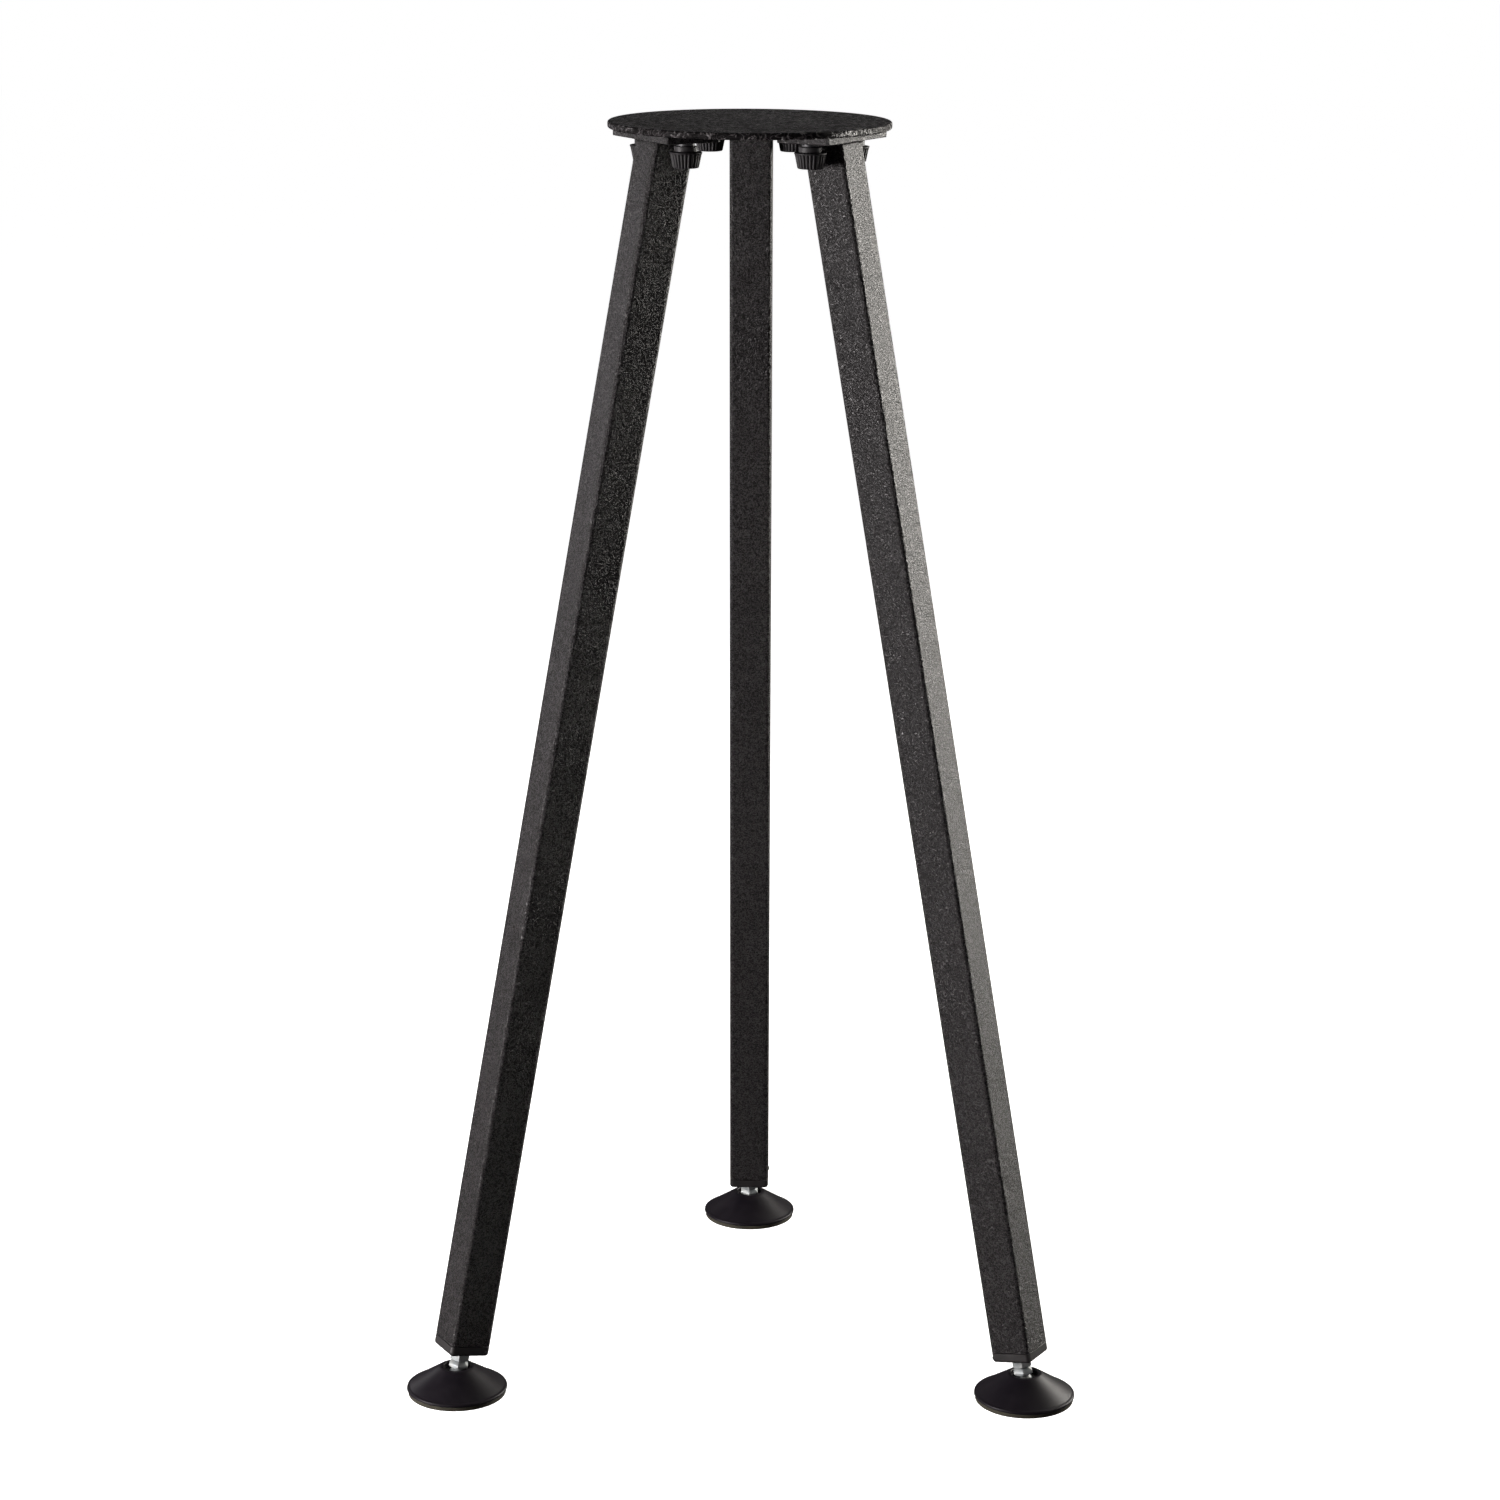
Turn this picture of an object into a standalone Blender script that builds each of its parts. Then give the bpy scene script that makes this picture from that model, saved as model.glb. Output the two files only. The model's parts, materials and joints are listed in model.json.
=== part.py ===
"""A free-standing steel tripod: round top disc, three splayed square legs, three swivel levelling feet.

Metres, +Z up. The origin is on the floor at the centre of the footprint's box, +Y points to the rear leg.
Each leg has a frame of its own, whose origin is the centre of the foot's ball and whose +Z runs up the tube.
"""
import math

import bmesh
import bpy
from mathutils import Matrix, Vector

MM = 0.001
GAP = 0.3 * MM                      # clearance left between pieces that touch

# Facets round a turned piece
DISC_SEGMENTS = 72
FOOT_SEGMENTS = 36                  # a multiple of 12, so that every foot has a corner on the box's sides
HARDWARE_SEGMENTS = 18
SMALL_SEGMENTS = 14

# Driving dimensions
STAND_HEIGHT = 880.5 * MM
DISC_RADIUS = 96.5 * MM
DISC_THICKNESS = 4.8 * MM
PLATE_LENGTH = 80.0 * MM            # along the disc's tangent
PLATE_WIDTH = 40.0 * MM             # along the disc's radius
PLATE_THICKNESS = 4.8 * MM
TUBE_WIDTH = 30.0 * MM
TUBE_WALL = 2.0 * MM
TUBE_CORNER = 3.0 * MM
SPLAY = math.radians(11.0)
LEG_TOP_RADIUS = 64.4 * MM          # tube axis to stand axis, at the plates' underside
BALL_HEIGHT = 13.5 * MM             # ball centre above the floor

# Fasteners
STUD_RADIUS = 2.95 * MM             # M6 weld stud
STUD_LENGTH = 18.0 * MM
STUD_OFFSET = 28.75 * MM            # each side of the leg
STUD_HOLE_RADIUS = 3.5 * MM
WASHER_RADIUS = 6.0 * MM
WASHER_THICKNESS = 1.6 * MM
NUT_FLATS = 13.0 * MM               # M8 nuts and the levelling stud's collar
NUT_HEIGHT = 6.5 * MM
M8_RADIUS = 3.95 * MM
M8_BORE_RADIUS = 4.3 * MM

# Clamp knob, measured down from its hub's top face
HUB_RADIUS = 7.75 * MM
HUB_HEIGHT = 3.9 * MM
GRIP_TOP_RADIUS = 11.0 * MM
GRIP_END_RADIUS = 8.9 * MM
GRIP_HEIGHT = 10.6 * MM
GRIP_FLUTES = 24
FLUTE_DEPTH = 0.7 * MM
INSERT_RADIUS = 4.25 * MM
INSERT_BORE_RADIUS = 3.3 * MM
INSERT_LENGTH = 12.0 * MM

# Foot hardware, measured up the leg from the ball's centre
CAP_END = 18.0 * MM
CAP_FLANGE = 7.0 * MM
CAP_PLUG = 16.0 * MM
CAP_FILLET = 2.0 * MM
CAP_BORE_RADIUS = 4.6 * MM
PIP_RADIUS = 1.35 * MM
PIP_HEIGHT = 0.7 * MM
THREAD_TOP = 57.0 * MM
COLLAR_TOP = 10.9 * MM
COLLAR_DOME_MIDDLE = 9.1 * MM
COLLAR_DOME_FLATS = 5.4 * MM        # half the width across flats, halfway up the dome
COLLAR_SHOULDER = 7.2 * MM
COLLAR_CHAMFER = 6.6 * MM
COLLAR_BOTTOM = 5.5 * MM
BALL_RADIUS = 6.0 * MM
NECK_RADIUS = 4.2 * MM
CUP_OUTER_RADIUS = 8.0 * MM
CUP_INNER_RADIUS = 6.35 * MM
CUP_OPENING = math.radians(66.0)    # half-angle of the cup's mouth
CAVITY_RADIUS = 8.4 * MM
CAVITY_OPENING = math.radians(65.0)

# Foot pad and sole, measured up from the floor
PAD_RADIUS = 35.4 * MM
PAD_RIM_BOTTOM = 3.7 * MM
PAD_RIM_TOP = 4.6 * MM
PAD_RIM_DRAFT = 0.1 * MM
PAD_UNDERSIDE = 3.0 * MM
PAD_BASE_RADIUS = 34.7 * MM
PAD_SHOULDER_RADIUS = 34.2 * MM
PAD_SHOULDER_HEIGHT = 5.4 * MM
PAD_TOP_RADIUS = 12.6 * MM
PAD_CONE_TOP = 19.1 * MM
PAD_HEIGHT = 19.6 * MM
PAD_NECK_ROUND = 0.6 * MM           # chamfer outside the neck's top
PAD_MOUTH_RADIUS = 9.6 * MM
PAD_MOUTH_ROUND = 0.3 * MM
PAD_LEDGE_HEIGHT = 17.3 * MM
SOLE_RADIUS = 34.5 * MM
SOLE_THICKNESS = 2.7 * MM

# Derived places
DISC_UNDERSIDE = STAND_HEIGHT - DISC_THICKNESS
PLATE_TOP = DISC_UNDERSIDE - GAP
PLATE_UNDERSIDE = PLATE_TOP - PLATE_THICKNESS
TUBE_TOP = PLATE_UNDERSIDE - GAP
WASHER_TOP = PLATE_UNDERSIDE - GAP
HUB_TOP = WASHER_TOP - WASHER_THICKNESS - GAP
NUT_CORNER_RADIUS = NUT_FLATS / math.sqrt(3)
FOOT_CIRCLE = LEG_TOP_RADIUS + (PLATE_UNDERSIDE - BALL_HEIGHT) * math.tan(SPLAY)
STAND_AXIS_Y = -FOOT_CIRCLE / 4     # puts the footprint's box on the origin
HEX_SIDES = 6

LEGS = {"rear": 90.0, "front_left": 210.0, "front_right": 330.0}
CAP_QUARTER_TURNS = {"rear": 3, "front_left": 1, "front_right": 2}
KNOB_SIDES = {"1": -1, "2": 1}

COLOURS = {
    "disc_powder_coat": ((0.030, 0.029, 0.029), 0.55, 0.0),
    "plate_powder_coat": ((0.026, 0.025, 0.025), 0.55, 0.0),
    "leg_powder_coat": ((0.032, 0.030, 0.031), 0.50, 0.0),
    "weld_powder_coat": ((0.024, 0.023, 0.023), 0.50, 0.0),
    "zinc_plate": ((0.66, 0.68, 0.70), 0.28, 1.0),
    "stud_steel": ((0.60, 0.61, 0.62), 0.25, 1.0),
    "washer_black": ((0.030, 0.030, 0.032), 0.45, 0.6),
    "brass": ((0.72, 0.52, 0.24), 0.35, 1.0),
    "knob_plastic": ((0.020, 0.019, 0.020), 0.38, 0.0),
    "cap_plastic": ((0.018, 0.017, 0.018), 0.42, 0.0),
    "pad_plastic": ((0.020, 0.018, 0.021), 0.42, 0.0),
    "socket_plastic": ((0.030, 0.029, 0.028), 0.40, 0.0),
    "sole_rubber": ((0.045, 0.042, 0.030), 0.85, 0.0),
}


def clear_scene():
    for obj in list(bpy.data.objects):
        bpy.data.objects.remove(obj, do_unlink=True)


def make_material(name):
    colour, roughness, metallic = COLOURS[name]
    material = bpy.data.materials.new(name)
    material.use_nodes = True
    shader = material.node_tree.nodes["Principled BSDF"]
    shader.inputs["Base Color"].default_value = (*colour, 1.0)
    shader.inputs["Roughness"].default_value = roughness
    shader.inputs["Metallic"].default_value = metallic
    material.diffuse_color = (*colour, 1.0)
    return material


def make_frame(name, parent, matrix):
    frame = bpy.data.objects.new(name, None)
    frame.empty_display_size = 0.02
    bpy.context.collection.objects.link(frame)
    frame.parent = parent
    frame.matrix_local = matrix
    return frame


def place(name, mesh, parent, matrix=Matrix()):
    obj = bpy.data.objects.new(name, mesh)
    bpy.context.collection.objects.link(obj)
    obj.parent = parent
    obj.matrix_local = matrix
    return obj


def finish_mesh(name, bm, material_name, smooth_angle=35.0):
    """Turn a bmesh into a mesh with its material, round faces shaded smooth."""
    bmesh.ops.recalc_face_normals(bm, faces=bm.faces[:])
    mesh = bpy.data.meshes.new(name)
    bm.to_mesh(mesh)
    bm.free()
    mesh.materials.append(make_material(material_name))
    mesh.shade_smooth()
    mesh.set_sharp_from_angle(angle=math.radians(smooth_angle))
    return mesh


def bridge(bm, lower, upper):
    """Join two loops of vertices by faces. A loop of one vertex is a pole."""
    if len(lower) == 1 and len(upper) == 1:
        return
    count = max(len(lower), len(upper))
    for i in range(count):
        j = (i + 1) % count
        if len(lower) == 1:
            bm.faces.new((lower[0], upper[j], upper[i]))
        elif len(upper) == 1:
            bm.faces.new((lower[i], lower[j], upper[0]))
        else:
            bm.faces.new((lower[i], lower[j], upper[j], upper[i]))


def loft(loops, closed):
    """A body through successive loops of points. A closed one goes round, as a tube's wall does.
    An open one has its first and last loops capped, unless they are poles."""
    bm = bmesh.new()
    rings = [[bm.verts.new(point) for point in loop] for loop in loops]
    for lower, upper in zip(rings, rings[1:]):
        bridge(bm, lower, upper)
    if closed:
        bridge(bm, rings[-1], rings[0])
    else:
        for ring in (rings[0], rings[-1]):
            if len(ring) > 1:
                bm.faces.new(ring)
    return bm


def circle(radius, z, segments, limit=None):
    """A ring of points. limit(angle) gives the largest radius that a flat-sided outline allows."""
    if radius == 0.0:
        return [Vector((0.0, 0.0, z))]
    points = []
    for i in range(segments):
        angle = math.tau * i / segments
        r = radius if limit is None else min(radius, limit(angle))
        points.append(Vector((r * math.cos(angle), r * math.sin(angle), z)))
    return points


def hexagon(flats):
    """The radius of a hexagon across its flats, as a function of the angle."""
    sector = math.tau / HEX_SIDES

    def radius(angle):
        return flats / 2 / math.cos(angle % sector - sector / 2)

    return radius


def lathe(profile, segments, closed=False):
    return loft([circle(r, z, segments) for r, z in profile], closed)


def arc(centre_r, centre_z, radius, start, end, steps):
    """Points of an arc in the profile plane, with angles in degrees from +r towards +z."""
    points = []
    for i in range(steps + 1):
        angle = math.radians(start + (end - start) * i / steps)
        points.append((centre_r + radius * math.cos(angle), centre_z + radius * math.sin(angle)))
    return points


def rounded_square(half, corner, steps=3):
    """The outline of a square with round corners, as (x, y) points."""
    points = []
    for quarter in range(4):
        middle = math.pi / 4 + quarter * math.pi / 2
        x = math.copysign(half - corner, math.cos(middle))
        y = math.copysign(half - corner, math.sin(middle))
        for i in range(steps + 1):
            angle = quarter * math.pi / 2 + math.pi / 2 * i / steps
            points.append((x + corner * math.cos(angle), y + corner * math.sin(angle)))
    return points


def flat_loop(outline, z):
    return [Vector((x, y, z)) for x, y in outline]


def mitred_loop(outline, height):
    """A leg outline, in the leg's frame, cut by the level plane at this height above the floor."""
    rise = height - BALL_HEIGHT
    return [Vector((x, y, (rise - x * math.sin(SPLAY)) / math.cos(SPLAY))) for x, y in outline]


# Pieces of the top

def disc_mesh():
    edge = 1.6 * MM
    top = arc(DISC_RADIUS - edge, STAND_HEIGHT - edge, edge, 0, 90, 2)
    bottom = arc(DISC_RADIUS - edge, DISC_UNDERSIDE + edge, edge, -90, 0, 2)
    profile = [(0.0, DISC_UNDERSIDE)] + bottom + top + [(0.0, STAND_HEIGHT)]
    return finish_mesh("top_disc", lathe(profile, DISC_SEGMENTS), "disc_powder_coat")


def weld_stud_mesh():
    chamfer = 0.6 * MM
    top = DISC_UNDERSIDE - GAP
    end = top - STUD_LENGTH
    profile = [(0.0, end), (STUD_RADIUS - chamfer, end), (STUD_RADIUS, end + chamfer), (STUD_RADIUS, top),
               (0.0, top)]
    return finish_mesh("weld_stud", lathe(profile, SMALL_SEGMENTS), "stud_steel")


def plate_mesh():
    """A length of flat bar with a clearance hole near each end, made as a box with a slight edge break."""
    bm = bmesh.new()
    bmesh.ops.create_cube(bm, size=1.0)
    bmesh.ops.scale(bm, vec=(PLATE_WIDTH, PLATE_LENGTH, PLATE_THICKNESS), verts=bm.verts[:])
    bmesh.ops.bevel(bm, geom=bm.edges[:], offset=0.6 * MM, segments=1, profile=0.5, affect="EDGES")
    return finish_mesh("mounting_plate", bm, "plate_powder_coat")


def cut_round_hole(obj, name, radius, height, parent, centre):
    """Cut a round hole along the parent frame's Z through the object."""
    drill = lathe([(0.0, -height), (radius, -height), (radius, height), (0.0, height)], HARDWARE_SEGMENTS)
    cutter = place(name, finish_mesh(name, drill, "stud_steel"), parent, Matrix.Translation(centre))
    cut(obj, cutter, "DIFFERENCE")


def cut(obj, cutter, operation):
    cutter.hide_render = True
    cutter.display_type = "WIRE"
    modifier = obj.modifiers.new(cutter.name, "BOOLEAN")
    modifier.operation = operation
    modifier.solver = "EXACT"
    modifier.object = cutter


def washer_mesh():
    bottom = WASHER_TOP - WASHER_THICKNESS
    profile = [(STUD_HOLE_RADIUS, bottom), (WASHER_RADIUS, bottom), (WASHER_RADIUS, WASHER_TOP),
               (STUD_HOLE_RADIUS, WASHER_TOP)]
    return finish_mesh("washer", lathe(profile, SMALL_SEGMENTS, closed=True), "washer_black")


def fluted_ring(radius, z, depth):
    """A ring of two points a flute, one on the rib and one in the groove."""
    points = []
    for i in range(2 * GRIP_FLUTES):
        angle = math.pi * i / GRIP_FLUTES
        r = radius - depth * (i % 2)
        points.append(Vector((r * math.cos(angle), r * math.sin(angle), z)))
    return points


def knob_mesh():
    """Plain hub above a tapered, fluted grip, with a blind pocket for the threaded insert."""
    segments = 2 * GRIP_FLUTES
    grip_top = HUB_TOP - HUB_HEIGHT
    grip_end = grip_top - GRIP_HEIGHT
    lip = 0.9 * MM
    pocket_radius = INSERT_RADIUS + GAP
    pocket_floor = HUB_TOP - INSERT_LENGTH - GAP
    taper = (GRIP_TOP_RADIUS - GRIP_END_RADIUS) / GRIP_HEIGHT
    lip_radius = GRIP_TOP_RADIUS - taper * lip
    loops = [
        circle(0.0, grip_end, segments),
        fluted_ring(GRIP_END_RADIUS, grip_end, FLUTE_DEPTH),
        fluted_ring(lip_radius, grip_top - lip, FLUTE_DEPTH),
        circle(GRIP_TOP_RADIUS, grip_top, segments),
        circle(HUB_RADIUS, grip_top, segments),
        circle(HUB_RADIUS, HUB_TOP, segments),
        circle(pocket_radius, HUB_TOP, segments),
        circle(pocket_radius, pocket_floor, segments),
        circle(0.0, pocket_floor, segments),
    ]
    return finish_mesh("clamp_knob", loft(loops, closed=False), "knob_plastic")


def insert_mesh():
    end = HUB_TOP - INSERT_LENGTH
    profile = [(INSERT_BORE_RADIUS, end), (INSERT_RADIUS, end), (INSERT_RADIUS, HUB_TOP),
               (INSERT_BORE_RADIUS, HUB_TOP)]
    return finish_mesh("knob_insert", lathe(profile, SMALL_SEGMENTS, closed=True), "brass")


# Pieces of a leg, in the leg's frame

def tube_mesh():
    outer = rounded_square(TUBE_WIDTH / 2, TUBE_CORNER)
    inner = rounded_square(TUBE_WIDTH / 2 - TUBE_WALL, TUBE_CORNER - TUBE_WALL)
    end = CAP_END + CAP_FLANGE + GAP
    loops = [flat_loop(inner, end), flat_loop(outer, end), mitred_loop(outer, TUBE_TOP),
             mitred_loop(inner, TUBE_TOP)]
    return finish_mesh("leg_tube", loft(loops, closed=True), "leg_powder_coat", 25.0)


def weld_mesh():
    """A fillet round the tube's mitred top, slightly hollow, as wide as it is tall."""
    size = 3.4 * MM
    toe = 0.4 * MM
    hollow_out = 1.36 * MM
    hollow_down = 1.7 * MM

    def outline(out):
        return rounded_square(TUBE_WIDTH / 2 + GAP + out, TUBE_CORNER + GAP + out)

    loops = [
        mitred_loop(outline(0.0), TUBE_TOP - size),
        mitred_loop(outline(hollow_out), TUBE_TOP - hollow_down),
        mitred_loop(outline(size), TUBE_TOP - toe),
        mitred_loop(outline(size), TUBE_TOP),
        mitred_loop(outline(0.0), TUBE_TOP),
    ]
    return finish_mesh("weld_bead", loft(loops, closed=True), "weld_powder_coat")


def cap_mesh():
    """Flush flange with a filleted end, and a plug that fits inside the tube. Its bore and nut pocket
    are cut from it, and the pip added to it, by the objects that cap_tools makes."""
    half = TUBE_WIDTH / 2
    plug_half = half - TUBE_WALL - GAP
    plug_base = CAP_END + CAP_FLANGE
    lead = 1.0 * MM
    loops = []
    fillet_steps = 3
    for i in range(fillet_steps + 1):
        angle = math.pi / 2 * i / fillet_steps
        inset = CAP_FILLET * (1 - math.sin(angle))
        outline = rounded_square(half - inset, TUBE_CORNER - inset)
        loops.append(flat_loop(outline, CAP_END + CAP_FILLET * (1 - math.cos(angle))))
    loops.append(flat_loop(rounded_square(half, TUBE_CORNER), plug_base))
    loops.append(flat_loop(rounded_square(plug_half, TUBE_CORNER - TUBE_WALL), plug_base))
    loops.append(flat_loop(rounded_square(plug_half, TUBE_CORNER - TUBE_WALL), plug_base + CAP_PLUG - lead))
    loops.append(flat_loop(rounded_square(plug_half - lead / 2, TUBE_CORNER - TUBE_WALL),
                           plug_base + CAP_PLUG))
    return finish_mesh("end_cap", loft(loops, closed=False), "cap_plastic", 30.0)


def cap_tools(cap, suffix, parent):
    """Bore and hexagon pocket for the captive nut, both along the leg, and the pip on one side."""
    plug_top = CAP_END + CAP_FLANGE + CAP_PLUG
    pocket_floor = plug_top - NUT_HEIGHT - 2 * GAP
    bore = lathe([(0.0, 0.0), (CAP_BORE_RADIUS, 0.0), (CAP_BORE_RADIUS, 2 * plug_top), (0.0, 2 * plug_top)],
                 HARDWARE_SEGMENTS)
    cut(cap, place("bore_" + suffix, finish_mesh("bore", bore, "stud_steel"), parent), "DIFFERENCE")
    wall = hexagon(NUT_FLATS + 2 * GAP)
    pocket = loft([circle(NUT_FLATS, pocket_floor, HEX_SIDES, wall),
                   circle(NUT_FLATS, 2 * plug_top, HEX_SIDES, wall)], closed=False)
    cut(cap, place("pocket_" + suffix, finish_mesh("pocket", pocket, "stud_steel"), parent), "DIFFERENCE")
    from_edge = 3.5 * MM
    up = 2.6 * MM
    sunk = 1.0 * MM
    rounding = 0.3 * MM
    pip = lathe([(0.0, -sunk), (PIP_RADIUS, -sunk), (PIP_RADIUS, PIP_HEIGHT - rounding),
                 (PIP_RADIUS - rounding, PIP_HEIGHT), (0.0, PIP_HEIGHT)], SMALL_SEGMENTS)
    half = TUBE_WIDTH / 2
    spot = Matrix.Translation((half, half - from_edge, CAP_END + up)) @ Matrix.Rotation(math.pi / 2, 4, "Y")
    cut(cap, place("pip_" + suffix, finish_mesh("pip", pip, "cap_plastic"), parent, spot), "UNION")


def nut_mesh(name):
    """Hexagon nut with its corners chamfered at both faces, resting on z = 0."""
    segments = HARDWARE_SEGMENTS
    wall = hexagon(NUT_FLATS)
    face_radius = 6.2 * MM
    chamfer = 0.9 * MM
    loops = [
        circle(M8_BORE_RADIUS, 0.0, segments),
        circle(face_radius, 0.0, segments, wall),
        circle(NUT_CORNER_RADIUS, chamfer, segments, wall),
        circle(NUT_CORNER_RADIUS, NUT_HEIGHT - chamfer, segments, wall),
        circle(face_radius, NUT_HEIGHT, segments, wall),
        circle(M8_BORE_RADIUS, NUT_HEIGHT, segments),
    ]
    return finish_mesh(name, loft(loops, closed=True), "zinc_plate", 20.0)


def levelling_stud_mesh():
    """Ball, neck, domed hexagon collar and M8 shank, about the leg's axis."""
    segments = HARDWARE_SEGMENTS
    wall = hexagon(NUT_FLATS)
    dome_middle = hexagon(2 * COLLAR_DOME_FLATS)
    chamfer = 0.8 * MM
    shank_edge = 0.4 * MM
    neck_angle = math.degrees(math.acos(NECK_RADIUS / BALL_RADIUS))
    ball = arc(0.0, 0.0, BALL_RADIUS, -90, neck_angle, 6)[1:]
    loops = [circle(0.0, -BALL_RADIUS, segments)]
    loops += [circle(r, z, segments) for r, z in ball]
    loops += [
        circle(NECK_RADIUS, COLLAR_BOTTOM, segments),
        circle(BALL_RADIUS, COLLAR_BOTTOM, segments),
        circle(NUT_CORNER_RADIUS, COLLAR_CHAMFER, segments, wall),
        circle(NUT_CORNER_RADIUS, COLLAR_SHOULDER, segments, wall),
        circle(NUT_CORNER_RADIUS, COLLAR_DOME_MIDDLE, segments, dome_middle),
        circle(M8_RADIUS + shank_edge, COLLAR_TOP, segments),
        circle(M8_RADIUS, COLLAR_TOP, segments),
        circle(M8_RADIUS, THREAD_TOP - chamfer, segments),
        circle(M8_RADIUS - chamfer, THREAD_TOP, segments),
        circle(0.0, THREAD_TOP, segments),
    ]
    return finish_mesh("levelling_stud", loft(loops, closed=False), "zinc_plate", 25.0)


# Pieces of a foot, about the ball's centre, with Z upright

def cup_mesh():
    opening = 90 - math.degrees(CUP_OPENING)
    outside = arc(0.0, 0.0, CUP_OUTER_RADIUS, -90, opening, 6)[1:]
    inside = arc(0.0, 0.0, CUP_INNER_RADIUS, opening, -90, 6)[:-1]
    profile = [(0.0, -CUP_OUTER_RADIUS)] + outside + inside + [(0.0, -CUP_INNER_RADIUS)]
    return finish_mesh("socket_cup", lathe(profile, HARDWARE_SEGMENTS), "socket_plastic")


def pad_mesh():
    """A truncated cone with a rounded lip, and a ball-shaped cavity that opens into its top."""
    opening = 90 - math.degrees(CAVITY_OPENING)
    cavity = arc(0.0, BALL_HEIGHT, CAVITY_RADIUS, opening, -90, 6)[:-1]
    outside = [
        (0.0, PAD_UNDERSIDE),
        (PAD_BASE_RADIUS, PAD_UNDERSIDE),
        (PAD_RADIUS, PAD_RIM_BOTTOM),
        (PAD_RADIUS - PAD_RIM_DRAFT, PAD_RIM_TOP),
        (PAD_SHOULDER_RADIUS, PAD_SHOULDER_HEIGHT),
        (PAD_TOP_RADIUS, PAD_CONE_TOP),
        (PAD_TOP_RADIUS - PAD_NECK_ROUND, PAD_HEIGHT),
        (PAD_MOUTH_RADIUS + PAD_MOUTH_ROUND, PAD_HEIGHT),
        (PAD_MOUTH_RADIUS, PAD_HEIGHT - PAD_MOUTH_ROUND),
        (PAD_MOUTH_RADIUS, PAD_LEDGE_HEIGHT),
    ]
    profile = outside + cavity + [(0.0, BALL_HEIGHT - CAVITY_RADIUS)]
    about_ball = [(r, z - BALL_HEIGHT) for r, z in profile]
    return finish_mesh("foot_pad", lathe(about_ball, FOOT_SEGMENTS), "pad_plastic")


def sole_mesh():
    edge = 0.5 * MM
    profile = [(0.0, 0.0), (SOLE_RADIUS - edge, 0.0), (SOLE_RADIUS, edge), (SOLE_RADIUS, SOLE_THICKNESS),
               (0.0, SOLE_THICKNESS)]
    about_ball = [(r, z - BALL_HEIGHT) for r, z in profile]
    return finish_mesh("foot_sole", lathe(about_ball, FOOT_SEGMENTS), "sole_rubber")


def build_top(stand):
    place("top_disc", disc_mesh(), stand)
    plate = plate_mesh()
    stud = weld_stud_mesh()
    washer = washer_mesh()
    knob = knob_mesh()
    insert = insert_mesh()
    for leg, azimuth in LEGS.items():
        clamp = make_frame("clamp_frame_" + leg, stand, Matrix.Rotation(math.radians(azimuth), 4, "Z"))
        middle = Vector((LEG_TOP_RADIUS, 0.0, PLATE_UNDERSIDE + PLATE_THICKNESS / 2))
        bar = place("mounting_plate_" + leg, plate, clamp, Matrix.Translation(middle))
        for side, sign in KNOB_SIDES.items():
            suffix = leg + "_" + side
            offset = Vector((LEG_TOP_RADIUS, sign * STUD_OFFSET, 0.0))
            hole_centre = Vector((offset.x, offset.y, middle.z))
            cut_round_hole(bar, "hole_" + suffix, STUD_HOLE_RADIUS, PLATE_THICKNESS, clamp, hole_centre)
            axis = Matrix.Translation(offset)
            place("weld_stud_" + suffix, stud, clamp, axis)
            place("washer_" + suffix, washer, clamp, axis)
            place("clamp_knob_" + suffix, knob, clamp, axis)
            place("knob_insert_" + suffix, insert, clamp, axis)


def build_legs(stand):
    tube = tube_mesh()
    weld = weld_mesh()
    cap = cap_mesh()
    captive = nut_mesh("captive_nut")
    jam = nut_mesh("jam_nut")
    stud = levelling_stud_mesh()
    cup = cup_mesh()
    pad = pad_mesh()
    sole = sole_mesh()
    captive_seat = CAP_END + CAP_FLANGE + CAP_PLUG - NUT_HEIGHT - GAP
    for leg, azimuth in LEGS.items():
        turn = Matrix.Rotation(math.radians(azimuth), 4, "Z")
        ball = turn @ Matrix.Translation((FOOT_CIRCLE, 0.0, BALL_HEIGHT))
        upright = make_frame("foot_frame_" + leg, stand, ball)
        along = make_frame("leg_frame_" + leg, upright, Matrix.Rotation(-SPLAY, 4, "Y"))
        quarter = make_frame("cap_frame_" + leg, along,
                             Matrix.Rotation(CAP_QUARTER_TURNS[leg] * math.pi / 2, 4, "Z"))
        place("leg_tube_" + leg, tube, along)
        place("weld_bead_" + leg, weld, along)
        plug = place("end_cap_" + leg, cap, quarter)
        cap_tools(plug, leg, quarter)
        place("captive_nut_" + leg, captive, quarter, Matrix.Translation((0.0, 0.0, captive_seat)))
        place("jam_nut_" + leg, jam, along, Matrix.Translation((0.0, 0.0, CAP_END - GAP - NUT_HEIGHT)))
        place("levelling_stud_" + leg, stud, along)
        place("socket_cup_" + leg, cup, upright)
        place("foot_pad_" + leg, pad, upright)
        place("foot_sole_" + leg, sole, upright)


def build():
    clear_scene()
    stand = make_frame("stand_axis", None, Matrix.Translation((0.0, STAND_AXIS_Y, 0.0)))
    build_top(stand)
    build_legs(stand)


build()
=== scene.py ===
"""Looks of the free-standing tripod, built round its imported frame.

The frame is in metres: +Z up, +Y towards the rear leg. Shapes are drawn in millimetres and scaled
when placed. A leg's own frame has its origin at the centre of the foot's ball, +Z up the tube and
+X outward.
"""
import json
import math

import bmesh
import bpy
from mathutils import Matrix, Vector


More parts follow.
